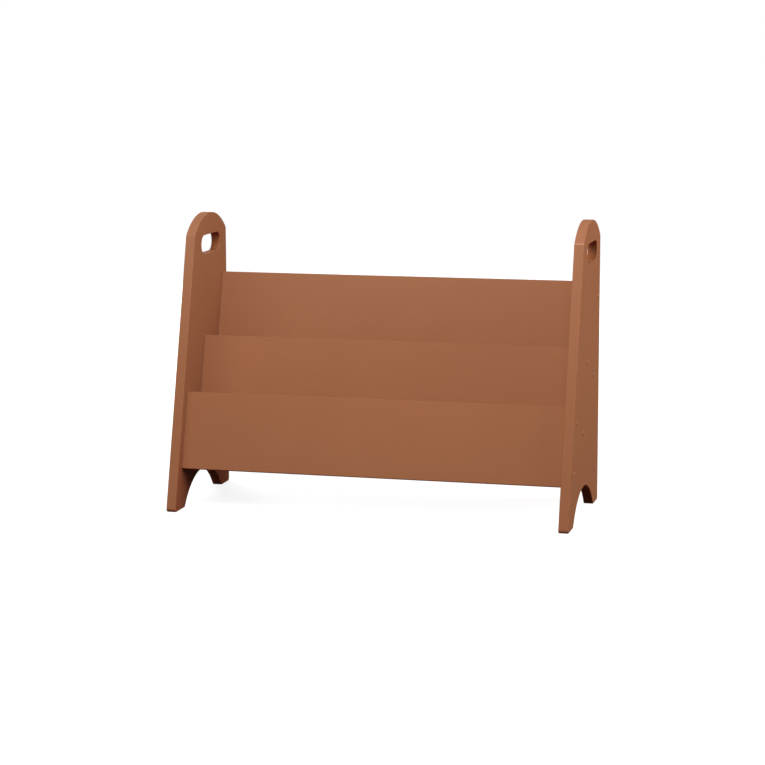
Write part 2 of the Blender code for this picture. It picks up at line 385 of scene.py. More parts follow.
def chord_radius(chord: float, rise: float) -> float:
    """Radius of the circle that rises by the given amount over a chord."""
    return (chord * chord / 4 + rise * rise) / (2 * rise)


def bearing(start: Point, end: Point) -> float:
    """The direction from one point to another, as an angle."""
    return math.atan2(end[1] - start[1], end[0] - start[0])


# Shader graphs


class Value:
    """A number that varies over a surface, with the usual arithmetic."""

    def __init__(self, graph: Graph, socket: bpy.types.NodeSocket) -> None:
        """Wrap a socket of the graph."""
        self.graph = graph
        self.socket = socket

    def maths(self, operation: str, *terms: Any) -> Value:
        """Add a Math node, whose terms are Values or numbers."""
        return self.graph.value("ShaderNodeMath", {"operation": operation},
                                dict(enumerate(terms)))

    def __add__(self, other: Any) -> Value:
        """Sum."""
        return self.maths("ADD", self, other)

    def __radd__(self, other: Any) -> Value:
        """Sum, with a number first."""
        return self.maths("ADD", other, self)

    def __sub__(self, other: Any) -> Value:
        """Difference."""
        return self.maths("SUBTRACT", self, other)

    def __rsub__(self, other: Any) -> Value:
        """Difference, with a number first."""
        return self.maths("SUBTRACT", other, self)

    def __mul__(self, other: Any) -> Value:
        """Product."""
        return self.maths("MULTIPLY", self, other)

    def __rmul__(self, other: Any) -> Value:
        """Product, with a number first."""
        return self.maths("MULTIPLY", other, self)

    def most(self, other: Any) -> Value:
        """The larger of two numbers."""
        return self.maths("MAXIMUM", self, other)

    def between(self, low: float, high: float) -> Value:
        """Add a soft step from 0 to 1.

        Args:
            low: Where the step starts.
            high: Where it ends.

        Returns:
            The step.
        """
        settings = {"interpolation_type": "SMOOTHSTEP"}
        inputs = {"Value": self, "From Min": low, "From Max": high}
        return self.graph.value("ShaderNodeMapRange", settings, inputs)


class Graph:
    """A node tree with one method that adds any node."""

    def __init__(self, tree: bpy.types.NodeTree) -> None:
        """Start with an empty tree."""
        self.tree = tree
        self.tree.nodes.clear()

    def node(self, kind: str, settings: dict[str, Any] | None = None,
             inputs: dict[Any, Any] | None = None) -> bpy.types.Node:
        """Add a node.

        Args:
            kind: The node's type.
            settings: Its properties, which are set first.
            inputs: Values or links by socket name or number.

        Returns:
            The node.
        """
        node = self.tree.nodes.new(kind)
        for key, setting in (settings or {}).items():
            setattr(node, key, setting)
        for key, given in (inputs or {}).items():
            socket = node.inputs[key]
            if isinstance(given, Value):
                given = given.socket
            if isinstance(given, bpy.types.NodeSocket):
                self.tree.links.new(given, socket)
            else:
                socket.default_value = given
        return node

    def value(self, kind: str, settings: dict[str, Any] | None = None,
              inputs: dict[Any, Any] | None = None, output: Any = 0) -> Value:
        """Add a node and wrap one of its outputs, given by name or number."""
        return Value(self, self.node(kind, settings, inputs).outputs[output])

    def noise(self, place: bpy.types.NodeSocket, scale: float, detail: float = 2.0,
              roughness: float = 0.5) -> Value:
        """Add a noise texture.

        Args:
            place: The coordinates it reads.
            scale: Its features to the metre.
            detail: Its number of octaves.
            roughness: How strong the finer octaves are.

        Returns:
            Its factor, about 0.5 on the average.
        """
        inputs = {"Vector": place, "Scale": scale, "Detail": detail, "Roughness": roughness}
        return self.value("ShaderNodeTexNoise", None, inputs, "Fac")

    def object_place(self) -> bpy.types.NodeSocket:
        """Where a point of the surface lies on its object."""
        return self.node("ShaderNodeTexCoord").outputs["Object"]

    def part(self, vector: bpy.types.NodeSocket, axis: str) -> Value:
        """One part of a vector, by its axis."""
        return self.value("ShaderNodeSeparateXYZ", None, {0: vector}, axis)

    def mark(self, mark: Mark) -> Value:
        """How strongly a face is marked."""
        return self.value("ShaderNodeAttribute", {"attribute_name": mark.value}, None, "Fac")

    def mix(self, factor: Value, first: Sequence[float] | bpy.types.NodeSocket,
            second: Sequence[float]) -> bpy.types.NodeSocket:
        """Mix two colours.

        Args:
            factor: The share of the second one.
            first: A colour or a colour socket.
            second: A colour.

        Returns:
            The mixed colour's socket.
        """
        inputs = {0: factor, 6: first, 7: second}
        return self.node("ShaderNodeMix", {"data_type": "RGBA"}, inputs).outputs[2]

    def surface(self, relief: Value, inputs: dict[str, Any]) -> None:
        """Add the material's shader and its output.

        Args:
            relief: The height of the surface.
            inputs: The shader's other inputs, by name.
        """
        bump = self.node("ShaderNodeBump", None,
                         {"Strength": 1.0, "Distance": 1.0, "Height": relief})
        shader = self.node("ShaderNodeBsdfPrincipled", None,
                           {**inputs, "Normal": bump.outputs[0]})
        self.node("ShaderNodeOutputMaterial", None, {"Surface": shader.outputs[0]})


def opaque(colour: Colour) -> tuple[float, ...]:
    """The colour with its alpha."""
    return (*colour, 1.0)


def new_material(name: str) -> tuple[bpy.types.Material, Graph]:
    """Make a material with an empty graph.

    Args:
        name: The material's name.

    Returns:
        The material and its graph.
    """
    material = bpy.data.materials.new(name)
    material.use_nodes = True
    return material, Graph(material.node_tree)


@dataclass(frozen=True)
class PaintFinish:
    """Matt paint on fibreboard, put on with a roller.

    Light and shade are painted into its colour: a paler painted highlight on the front shoulders
    and the caps, a paler, whiter painted sheen high up on faces that look forward, darker and
    browner painted shade in the hand slots, and a redder painted shade, for red light bounced in
    shade, where a face looks down or lies low on the inside. A span says where a tone starts and
    where it is full.
    """

    name: str
    colour: Colour
    shade: Colour
    # painted sheen: a paler, whiter tone high up on faces that look forward
    painted_sheen: Colour
    # painted highlight on the front shoulders and the caps' upper fronts
    painted_highlight: Colour = (0.42, 0.215, 0.135)
    # painted shade: redder on faces that look down or lie low on the inside, for red light bounced
    # in shade
    painted_shade: Colour = (0.340, 0.072, 0.036)
    # painted shade in the hand slots: darker and browner
    slot_shade: Colour = (0.265, 0.090, 0.036)
    drift_scale: float = 9.0  # the slow drift of the tone over a board
    drift_share: float = 1.3
    film_scale: float = 60.0  # how thick the roller left the paint
    film_share: float = 0.6
    film_rough: float = 0.10
    # the heights where the painted sheen starts and where it is full
    sheen_height: Span = (0.15, 0.45)
    sheen_side: Place = (0.0, -0.87, 0.5)  # where the faces with the painted sheen look to
    sheen_facing: Span = (0.2, 0.9)  # how squarely they look there
    # where the redder painted shade lies low on the inside
    low_height: Span = (0.045, 0.125)
    low_inward: Span = (0.1, 0.28)  # metres from the middle, times how far a face looks inwards
    low_share: float = 0.45
    down_facing: Span = (0.1, 0.7)  # how far a face looks down, for the redder painted shade
    roughness: float = 0.85
    specular: float = 0.012
    stipple_scale: float = 720.0
    stipple_height: float = 0.00002
    fibre_scale: float = 1500.0  # the fibres that show on cut edges
    fibre_fineness: float = 0.7
    fibre_height: float = 0.00002
    fibre_rough: float = 0.03

    def tint(self, graph: Graph, film: Value) -> bpy.types.NodeSocket:
        """Work out the paint's colour.

        Args:
            graph: The material's graph.
            film: How thick the paint lies, 0 on the average.

        Returns:
            The colour.
        """
        place = graph.object_place()
        height = graph.part(place, "Z")
        normal = graph.node("ShaderNodeNewGeometry").outputs["Normal"]
        facing = graph.value("ShaderNodeVectorMath", {"operation": "DOT_PRODUCT"},
                             {0: normal, 1: self.sheen_side}, "Value")
        inward = -1 * graph.part(place, "X") * graph.part(normal, "X")
        down = -1 * graph.part(normal, "Z")

        drift = graph.noise(place, self.drift_scale, detail=3.0) - 0.5
        thin = drift * self.drift_share + film * self.film_share + 0.5
        # painted sheen, paler and whiter high up on faces that look forward
        sheen = height.between(*self.sheen_height) * facing.between(*self.sheen_facing)
        # redder painted shade low on the inside
        low = 1 - height.between(*self.low_height)
        inside_shade = inward.between(*self.low_inward) * low * self.low_share

        colour = graph.mix(thin.between(0.0, 1.0), opaque(self.colour), opaque(self.shade))
        colour = graph.mix(sheen, colour, opaque(self.painted_sheen))
        colour = graph.mix(inside_shade, colour, opaque(self.painted_shade))
        # painted shade on the hand slot's walls
        colour = graph.mix(graph.mark(Mark.SLOT_SHADE), colour, opaque(self.slot_shade))
        # redder painted shade on faces that look down
        colour = graph.mix(down.between(*self.down_facing), colour, opaque(self.painted_shade))
        # painted highlight where the faces are marked for it
        return graph.mix(graph.mark(Mark.PAINTED_HIGHLIGHT), colour, opaque(self.painted_highlight))

    def build(self) -> bpy.types.Material:
        """Build the paint.

        Returns:
            The material.
        """
        material, graph = new_material(self.name)
        place = graph.object_place()
        film = graph.noise(place, self.film_scale, detail=3.0) - 0.5
        stipple = graph.noise(place, self.stipple_scale)
        fibre = graph.noise(place, self.fibre_scale, detail=3.0, roughness=self.fibre_fineness)
        cut_edge = graph.mark(Mark.CUT_EDGE)
        relief = stipple * self.stipple_height + cut_edge * fibre * self.fibre_height
        graph.surface(relief, {
            "Base Color": self.tint(graph, film),
            "Roughness": self.roughness + film * self.film_rough + cut_edge * self.fibre_rough,
            "Specular IOR Level": self.specular,
        })
        return material


@dataclass(frozen=True)
class ZincFinish:
    """Zinc-plated steel with a fine, cloudy surface."""

    name: str
    colour: Colour = (0.60, 0.60, 0.58)
    dull: Colour = (0.46, 0.47, 0.47)
    cloud_scale: float = 420.0
    cloud_span: Span = (0.3, 0.75)
    cloud_rough: float = 0.2
    grain_scale: float = 3200.0
    grain_height: float = 0.000006
    roughness: float = 0.32

    def build(self) -> bpy.types.Material:
        """Build the plating.

        Returns:
            The material.
        """
        material, graph = new_material(self.name)
        place = graph.object_place()
        cloud = graph.noise(place, self.cloud_scale, detail=4.0)
        grain = graph.noise(place, self.grain_scale)
        graph.surface(grain * self.grain_height, {
            "Base Color": graph.mix(cloud.between(*self.cloud_span), opaque(self.colour),
                                    opaque(self.dull)),
            "Metallic": 1.0,
            "Roughness": self.roughness + (cloud - 0.5) * self.cloud_rough,
        })
        return material


@dataclass(frozen=True)
class BeechFinish:
    """Plain beech, its grain along the dowels."""

    name: str
    light: Colour = (0.58, 0.40, 0.24)
    dark: Colour = (0.40, 0.24, 0.13)
    stretch: float = 0.06  # the pattern's scale along the grain, where it is 1 across
    ring_scale: float = 700.0
    ring_span: Span = (0.35, 0.7)
    ring_share: float = 0.7
    fleck_scale: float = 2600.0
    fleck_span: Span = (0.58, 0.72)
    fleck_share: float = 0.3
    grain_depth: float = 0.00003
    roughness: float = 0.62
    grain_rough: float = 0.12

    def build(self) -> bpy.types.Material:
        """Build the wood.

        Returns:
            The material.
        """
        material, graph = new_material(self.name)
        along = graph.node("ShaderNodeMapping", {"vector_type": "POINT"}, {
            "Vector": graph.object_place(),
            "Rotation": (LEAN, 0.0, 0.0),
            "Scale": (1.0, self.stretch, 1.0),
        }).outputs[0]
        rings = graph.noise(along, self.ring_scale, detail=4.0).between(*self.ring_span)
        flecks = graph.noise(along, self.fleck_scale).between(*self.fleck_span)
        grain = rings * self.ring_share + flecks * self.fleck_share
        graph.surface(grain * -self.grain_depth, {
            "Base Color": graph.mix(grain, opaque(self.light), opaque(self.dark)),
            "Roughness": self.roughness + grain * self.grain_rough,
        })
        return material


FINISHES: dict[Slot, PaintFinish | ZincFinish | BeechFinish] = {
    Slot.PAINTED_BOARD: PaintFinish(
        Slot.PAINTED_BOARD.value,
        colour=(0.312, 0.122, 0.058),
        shade=(0.298, 0.115, 0.054),
        # the tone of the painted sheen high up in front
        painted_sheen=(0.312, 0.132, 0.069),
    ),
    Slot.PAINTED_CAP: PaintFinish(
        Slot.PAINTED_CAP.value,
        colour=(0.316, 0.124, 0.059),
        shade=(0.302, 0.117, 0.055),
        painted_sheen=(0.316, 0.134, 0.070),
        # a painted highlight on the cap's upper front
        painted_highlight=(0.44, 0.175, 0.085),
        roughness=0.60,
        specular=0.04,
        stipple_height=0.000006,
    ),
    Slot.ZINC_STEEL: ZincFinish(Slot.ZINC_STEEL.value),
    Slot.BEECH: BeechFinish(Slot.BEECH.value),
}


@dataclass
class Finishes:
    """The finishes of the rack, each one built once."""

    materials: dict[Slot, bpy.types.Material] = field(default_factory=dict)

    def build(self) -> None:
        """Build every finish."""
        for slot, finish in FINISHES.items():
            self.materials[slot] = finish.build()
            LOG.info("finish %s", slot.value)

    def dress(self, item: bpy.types.Object, slot: Slot) -> None:
        """Give a piece its only material."""
        item.data.materials.clear()
        item.data.materials.append(self.materials[slot])

    def hand_over(self, item: bpy.types.Object, slot: Slot, node: str) -> None:
        """Dress a finished piece and let it stand for its node.

        Args:
            item: The piece, with its place in its mesh.
            slot: Its finish.
            node: The node.
        """
        self.dress(item, slot)
        low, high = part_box(node)
        for axis in range(3):
            places = [corner.co[axis] for corner in item.data.vertices]
            off = max(abs(min(places) - low[axis]), abs(max(places) - high[axis]))
            if off > FRAME_TOLERANCE:
                LOG.warning("%s is %.5f m off its node on axis %d", item.name, off, axis)
        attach(item, BODY)
        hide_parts(node)
        LOG.info("piece %s: %d faces", item.name, len(item.data.polygons))


# The rack


@dataclass(frozen=True)
class Row:
    """A leaning board's place on the slope."""

    name: str
    front: float
    bottom: float
    top: float


@dataclass
class Layout:
    """The sizes that the pieces share, and what follows from them.

    Boards and fixings are placed on the slope of the panels' front edges.
    """

    lean: float = LEAN
    inner_width: float = 0.600  # between the end panels
    panel: float = 0.015  # the pieces' thicknesses
    board: float = 0.015
    floor: float = 0.015
    setback: float = 0.015  # from the panels' front edges in to the front board
    pocket: float = 0.050  # between two boards
    lip: float = 0.0375  # how far a board reaches above the floor behind it
    front_bottom: float = 0.0705  # the front board's lower edge, up the slope
    heights: tuple[float, float, float] = (0.120, 0.150, 0.165)  # the boards', from the front
    clearance: float = 0.0003  # the gap that a piece keeps to its neighbours
    back_margin: float = 0.0045  # from the back board's upper corner to the panels' back
    toe: float = 0.005  # the radius of the feet's corners

    def __post_init__(self) -> None:
        """Work out the rows and the depth."""
        drop = self.lip + self.floor
        pitch = self.board + self.pocket
        self.rows: list[Row] = []
        bottom = self.front_bottom
        for index, (name, height) in enumerate(zip(("front", "middle", "back"), self.heights)):
            front = self.setback + index * pitch
            self.rows.append(Row(name, front, bottom, bottom + height))
            bottom += height - drop
        last = self.rows[-1]
        rear = last.front + self.board
        self.depth = rear * math.cos(self.lean) + last.top * math.sin(self.lean) + self.back_margin
        self.toe_centre = self.toe * (1 + math.sin(self.lean)) / math.cos(self.lean)
        self.back_y = (self.depth - self.toe_centre + self.toe) / 2
        self.front_y = self.back_y - self.depth

    def put(self, item: bpy.types.Object, spot: Place, turn: Matrix) -> None:
        """Turn a new piece and move it to its spot on the slope.

        Args:
            item: The piece.
            spot: How far across the rack, into it and up the slope it goes.
            turn: Its turn.
        """
        slope = Matrix.Translation((0.0, self.front_y, 0.0)) @ Matrix.Rotation(-self.lean, 4, "X")
        item.matrix_world = slope @ Matrix.Translation(spot) @ turn
        apply_place(item)


@dataclass
class EndPanels:
    """The two upright end panels."""

    layout: Layout
    height: float = 0.450
    crown_rise: float = 0.030  # from the crown's chord to its top
    front_foot: float = 0.045  # from the front edge to the arch
    rear_foot: float = 0.040  # from the back edge to the arch
    arch_rise: float = 0.046
    shoulder: float = 0.006  # the radius between the crown and an edge
    shoulder_turn: float = math.radians(31)  # how far the front shoulder turns
    slot_length: float = 0.090
    slot_height: float = 0.030
    slot_drop: float = 0.049  # from the crown's top to the slot's middle
    arris: float = 0.00075  # the radius of the eased edges
    arris_rings: int = 6
    flat_angle: float = math.radians(0.2)  # faces that turn less are merged
    arch_steps: int = 72
    crown_steps: int = 56
    toe_steps: int = 10
    shoulder_steps: int = 9
    slot_steps: int = 32
    slot_margin: float = 0.0006  # how far past the slot's height its walls are looked for
    wall_tilt: float = 0.1  # how far a wall's face may look to the side
    # how strong the painted shoulder highlight is on each side, strong on the right only
    shoulder_highlight: dict[Side, float] = field(default_factory=lambda: {Side.LEFT: 0.2, Side.RIGHT: 1.0})

    @property
    def crown_depth(self) -> float:
        """How deep the panel is where its crown starts."""
        return self.layout.depth - (self.height - self.crown_rise) * math.tan(self.layout.lean)

    def shoulder_centre(self, crown: Point, radius: float, distance: float, facing: float,
                        side: int) -> Point:
        """Centre of the rounding between the crown and a straight edge.

        Args:
            crown: The crown's centre.
            radius: The crown's radius.
            distance: The edge's distance from that centre.
            facing: The direction that the edge faces.
            side: 1 where the edge's upper end lies to the left of it, else -1.

        Returns:
            The centre.
        """
        outwards = distance - self.shoulder
        along = side * math.sqrt((radius - self.shoulder) ** 2 - outwards ** 2)
        cos, sin = math.cos(facing), math.sin(facing)
        return (crown[0] + outwards * cos - along * sin, crown[1] + outwards * sin + along * cos)

    def draw_outline(self) -> bpy.types.Object:
        """Draw the panel's edge, anticlockwise from the front toe.

        Returns:
            The line, with the depth along X and the height along Y.
        """
        toe, lean = self.layout.toe, self.layout.lean
        front_y, back_y = self.layout.front_y, self.layout.back_y
        centre = (front_y + self.layout.toe_centre, toe)
        start = (centre[0] - toe * math.cos(lean), toe + toe * math.sin(lean))
        pencil = Pencil("panel_outline", start)
        pencil.arc(centre, QUARTER_TURN + lean, self.toe_steps)

        chord = self.layout.depth - self.front_foot - self.rear_foot
        radius = chord_radius(chord, self.arch_rise)
        arch = (front_y + self.front_foot + chord / 2, self.arch_rise - radius)
        reach = math.sqrt((radius + toe) ** 2 - (toe - arch[1]) ** 2)
        meeting = math.atan2(toe - arch[1], reach)
        turn = QUARTER_TURN - meeting
        pencil.line((arch[0] - reach, 0.0))
        pencil.arc((arch[0] - reach, toe), turn, self.toe_steps)
        pencil.arc(arch, 2 * meeting - math.pi, self.arch_steps)
        pencil.arc((arch[0] + reach, toe), turn, self.toe_steps)
        pencil.line((back_y - toe, 0.0))
        pencil.arc((back_y - toe, toe), QUARTER_TURN, self.toe_steps)

        radius = chord_radius(self.crown_depth, self.crown_rise)
        crown = (back_y - self.crown_depth / 2, self.height - radius)
        to_front = (crown[0] - front_y) * math.cos(lean) - crown[1] * math.sin(lean)
        facing = math.pi - lean
        rear = self.shoulder_centre(crown, radius, self.crown_depth / 2, 0.0, 1)
        front = self.shoulder_centre(crown, radius, to_front, facing, -1)
        rear_turn, front_turn = bearing(crown, rear), bearing(crown, front)
        pencil.line((back_y, rear[1]))
        pencil.arc(rear, rear_turn, self.shoulder_steps)
        pencil.arc(crown, front_turn - rear_turn, self.crown_steps)
        pencil.arc(front, facing - front_turn, self.shoulder_steps)
        pencil.line(start)
        return pencil.lift()

    def draw_slot(self) -> bpy.types.Object:
        """Draw the hand slot, a bar with full-round ends.

        Returns:
            The line.
        """
        middle, up = self.layout.back_y - self.crown_depth / 2, self.height - self.slot_drop
        radius = self.slot_height / 2
        half = self.slot_length / 2 - radius
        pencil = Pencil("slot_outline", (middle + half, up - radius))
        pencil.arc((middle + half, up), math.pi, self.slot_steps)
        pencil.line((middle - half, up + radius))
        pencil.arc((middle - half, up), math.pi, self.slot_steps)
        pencil.line((middle + half, up - radius))
        return pencil.lift()

    def model(self) -> bpy.types.Object:
        """Model one panel, with its slot and eased edges, upright in the middle.

        Returns:
            The panel.
        """
        pick(self.draw_outline(), self.draw_slot())
        bpy.ops.object.join()
        bpy.ops.object.convert(target="CURVE")
        curve = bpy.context.object.data
        curve.dimensions = "2D"
        curve.fill_mode = "BOTH"
        curve.extrude = self.layout.panel / 2 - self.arris
        curve.bevel_depth = self.arris
        curve.bevel_resolution = self.arris_rings - 1
        curve.offset = -self.arris
        bpy.ops.object.convert(target="MESH")
        panel = named("end_panel")
        weld(panel)
        edit_all(panel)
        bpy.ops.mesh.dissolve_limited(angle_limit=self.flat_angle)
        bpy.ops.object.mode_set(mode="OBJECT")
        panel.rotation_euler = (QUARTER_TURN, 0.0, QUARTER_TURN)
        apply_place(panel)
        return panel

    def mark_highlight(self, panel: bpy.types.Object, strength: float) -> None:
        """Mark the front shoulder for a painted highlight, a paler tone that stands in for a
        glint.

        Args:
            panel: The panel.
            strength: How strong the painted highlight is, from 0 to 1.
        """
        lean, front_y = self.layout.lean, self.layout.front_y
        foot = self.height - self.crown_rise - self.shoulder

        def highlight_strength(face: bpy.types.MeshPolygon) -> float:
            """Work out how strong the painted highlight is on a face, most in the middle of the
            rounding.

            Args:
                face: The face.

            Returns:
                Its mark, 0 outside the rounding.
            """
            inwards = (face.center.y - front_y) * math.cos(lean) - face.center.z * math.sin(lean)
            share = (math.atan2(face.normal.z, -face.normal.y) - lean) / self.shoulder_turn
            if face.center.z > foot and inwards < self.shoulder and 0.0 < share < 1.0:
                return strength * math.sin(math.pi * share)
            return 0.0

        mark_faces(panel, Mark.PAINTED_HIGHLIGHT, highlight_strength)

    def mark_slot(self, panel: bpy.types.Object) -> None:
        """Mark the hand slot's walls for painted shade, which makes them darker and browner.

        Args:
            panel: The panel.
        """
        level, reach = self.height - self.slot_drop, self.slot_height / 2 + self.slot_margin

        def is_wall(face: bpy.types.MeshPolygon) -> float:
            """1 for a face in the slot that lies square to the panel's sides, else 0."""
            near = abs(face.center.z - level) < reach
            return 1.0 if near and abs(face.normal.x) < self.wall_tilt else 0.0

        mark_faces(panel, Mark.SLOT_SHADE, is_wall)

    def build(self, drills: dict[Side, bpy.types.Object], finishes: Finishes) -> None:
        """Build both panels, drill them and dress them.

        Args:
            drills: Each side's screw bores.
            finishes: The finishes.
        """
        pattern = self.model()
        for side in Side:
            panel = copy_of(pattern, f"{side.word}_end_panel")
            panel.location.x = side.value * (self.layout.inner_width + self.layout.panel) / 2
            apply_place(panel)
            cut(panel, drills[side])
            mark_edges(panel, Vector((1.0, 0.0, 0.0)))
            self.mark_highlight(panel, self.shoulder_highlight[side])
            self.mark_slot(panel)
            soften(panel)
            finishes.hand_over(panel, Slot.PAINTED_BOARD, f"{side.word}_side_panel")
        delete(pattern)


@dataclass
class Boards:
    """The three leaning boards and the two pocket floors."""

    layout: Layout
    arris: float = 0.00075  # the radius of the long edges
    floor_arris: float = 0.0005
    rings: int = 6  # segments across an eased edge

    def plank(self, name: str, front: float, bottom: float, size: Point,
              arris: float) -> bpy.types.Object:
        """Model a straight plank between the panels, with its long edges eased.

        Args:
            name: The plank's name.
            front: Its front face on the slope.
            bottom: Its lower edge on the slope.
            size: Its depth and its height.
            arris: The radius of its long edges.

        Returns:
            The plank.
        """
        start_fresh()
        width = self.layout.inner_width - 2 * self.layout.clearance
        bpy.ops.mesh.primitive_cube_add(size=1.0, scale=(width, *size))
        item = named(name)
        apply_place(item)
        edit_edges(item, lambda edge: abs((edge.verts[0].co - edge.verts[1].co).x) > WELD)
        bpy.ops.mesh.bevel(offset=arris, offset_type="OFFSET", segments=self.rings,
                           profile=0.5, affect="EDGES")
        bpy.ops.object.mode_set(mode="OBJECT")
        spot = (0.0, front + size[0] / 2, bottom + size[1] / 2)
        self.layout.put(item, spot, Matrix.Identity(4))
        return item

    def build(self, screws: Sequence[bpy.types.Object], dowels: bpy.types.Object,
              finishes: Finishes) -> None:
        """Build the boards and the floors, drill them and dress them.

        Args:
            screws: The bores of the screws, at each end.
            dowels: The bores of the dowels.
            finishes: The finishes.
        """
        layout = self.layout
        turn = Matrix.Rotation(-layout.lean, 3, "X")
        inwards, upwards = turn @ Vector((0.0, 1.0, 0.0)), turn @ Vector(Z_AXIS)
        for row in layout.rows:
            item = self.plank(f"{row.name}_leaning_board", row.front, row.bottom,
                              (layout.board, row.top - row.bottom), self.arris)
            self.finish(item, f"{row.name}_board", inwards, (*screws, dowels), finishes)
        depth = layout.pocket - 2 * layout.clearance
        for name, before, behind in zip(("front", "rear"), layout.rows, layout.rows[1:]):
            front = before.front + layout.board + layout.clearance
            item = self.plank(f"{name}_book_floor", front, behind.bottom,
                              (depth, layout.floor), self.floor_arris)
            self.finish(item, f"{name}_pocket_floor", upwards, (dowels,), finishes)

    def finish(self, item: bpy.types.Object, node: str, across: Vector,
               drills: Sequence[bpy.types.Object], finishes: Finishes) -> None:
        """Drill a plank, dress it and let it stand for its node.

        Args:
            item: The plank.
            node: Its node.
            across: The direction of its thickness.
            drills: The bores that it takes.
            finishes: The finishes.
        """
        for drill in drills:
            cut(item, drill)
        mark_edges(item, across)
        soften(item)
        finishes.hand_over(item, Slot.PAINTED_BOARD, node)


@dataclass
class Fixings:
    """The screws' caps, and the bores that screws, caps and dowels take."""

    layout: Layout
    top_inset: float = 0.022  # from a board's top to its upper screw
    bottom_inset: float = 0.020  # from its bottom to its lower screw
    screw_length: float = 0.050
    shank: float = 0.0025  # the screw's radii
    head: float = 0.0037
    cap_overhang: float = 0.0003  # how far a cap reaches past the head
    cap_rise: float = 0.0012  # how far it stands out of the panel
    cap_rim: float = 0.0006  # how deep its rim sits in the panel
    cap_edge: float = 0.00025  # the radius of the rim's hidden edge
    cap_crown: float = 0.0001  # how far its crown rises
    cap_brow: float = 0.0011  # the radius between the crown and the side
    cap_highlight: float = 0.9  # how strong its painted highlight is at the most
    highlight_span: Span = (0.2, 0.7)  # where that starts and where it is full, in radii
    stem: float = 0.0011  # the radius of the stem that holds it in the screw
    stem_tip: float = -0.0028  # where the stem ends, with 0 on the panel's face
    dowel: float = 0.004  # a dowel's radius
    dowel_wall: float = 0.006  # what is left of a board beyond a dowel's bore
    dowel_core: float = 0.011  # what is left of a floor between two dowels' bores
    dowel_inset: float = 0.080  # from an end panel to the nearest dowels
    steps: int = 40
    crown_steps: int = 10
    brow_steps: int = 6
    rim_steps: int = 4

    def spots(self) -> list[tuple[str, float, float]]:
        """The screws' places on the slope.

        Returns:
            Their names, how far in they are and how far up.
        """
        found = []
        for row in self.layout.rows:
            inwards = row.front + self.layout.board / 2
            found.append((f"{row.name}_lower", inwards, row.bottom + self.bottom_inset))
            found.append((f"{row.name}_upper", inwards, row.top - self.top_inset))
        return found

    def place(self, item: bpy.types.Object, side: Side, inwards: float, up: float) -> None:
        """Put a fixing on a panel's outer face, its Z outwards.

        Args:
            item: The fixing.
            side: The panel.
            inwards: How far in it goes on the slope.
            up: How far up it goes.
        """
        face = side.value * (self.layout.inner_width / 2 + self.layout.panel)
        turn = Matrix.Rotation(side.value * QUARTER_TURN, 4, "Y")
        self.layout.put(item, (face, inwards, up), turn)

    def screw_drill(self, side: Side) -> bpy.types.Object:
        """Model the bores at one end of the rack.

        Args:
            side: The end.

        Returns:
            The six bores as one cutter.
        """
        play = self.layout.clearance
        seat = self.cap_rim + play
        head, bore = self.head + play, self.shank + play
        cap = self.head + self.cap_overhang + play
        end = -seat - self.screw_length - play
        profile = [(0.0, self.cap_rise + play), (cap, self.cap_rise + play), (cap, -seat),
                   (head, -seat), (bore, -seat - (head - bore)), (bore, end), (0.0, end)]
        pattern = turned("screw_bore", profile, self.steps)
        bores = []
        for name, inwards, up in self.spots():
            bores.append(copy_of(pattern, f"bore_{name}"))
            self.place(bores[-1], side, inwards, up)
        delete(pattern)
        return join(f"screw_drill_{side.word}", *bores)

    def dowel_drill(self) -> bpy.types.Object:
        """Model the dowels' bores.

        Returns:
            The twelve bores as one cutter.
        """
        layout = self.layout
        play = layout.clearance
        in_board = layout.board - self.dowel_wall
        in_floor = (layout.pocket - 2 * play - self.dowel_core) / 2
        length = in_board + in_floor + play
        radius = self.dowel + play
        profile = [(0.0, length / 2), (radius, length / 2), (radius, -length / 2),
                   (0.0, -length / 2)]
        pattern = turned("dowel_bore", profile, self.steps)
        shift = length / 2 - in_board
        reach = layout.inner_width / 2 - self.dowel_inset
        turn = Matrix.Rotation(QUARTER_TURN, 4, "X")
        bores = []
        for before, behind in zip(layout.rows, layout.rows[1:]):
            up = behind.bottom + layout.floor / 2
            for inwards in (before.front + layout.board + shift, behind.front - shift):
                for across in (-reach, 0.0, reach):
                    bores.append(copy_of(pattern, "dowel_bore"))
                    layout.put(bores[-1], (across, inwards, up), turn)
        delete(pattern)
        return join("dowel_drill", *bores)

    def model_cap(self) -> bpy.types.Object:
        """Model a cap: a nearly flat crown, a round brow, an eased rim and a stem.

        Returns:
            The cap, its Z at 0 on the panel's outer face.
        """
        radius = self.head + self.cap_overhang
        brow = radius - self.cap_brow
        dome = chord_radius(2 * brow, self.cap_crown)
        shoulder = self.cap_rise - self.cap_crown - self.cap_brow
        rim = (radius - self.cap_edge, -self.cap_rim + self.cap_edge)
        pencil = Pencil("screw_cap", (0.0, self.cap_rise))
        pencil.arc((0.0, self.cap_rise - dome), -math.asin(brow / dome), self.crown_steps)
        pencil.arc((brow, shoulder), -QUARTER_TURN, self.brow_steps)
        pencil.line((radius, rim[1]))
        pencil.arc(rim, -QUARTER_TURN, self.rim_steps)
        pencil.line((self.stem, -self.cap_rim))
        pencil.line((self.stem, self.stem_tip))
        pencil.line((0.0, self.stem_tip))
        cap = pencil.lift()
        revolve(cap, self.steps)
        return cap

    def mark_highlight(self, cap: bpy.types.Object) -> None:
        """Mark the cap's upper front for a painted highlight, a paler tone that stands in for a
        glint.

        Args:
            cap: The cap, in its place.
        """
        points = [vertex.co for vertex in cap.data.vertices]
        middle = sum(points, Vector()) / len(points)
        reach = math.sqrt(2.0) * (self.head + self.cap_overhang)

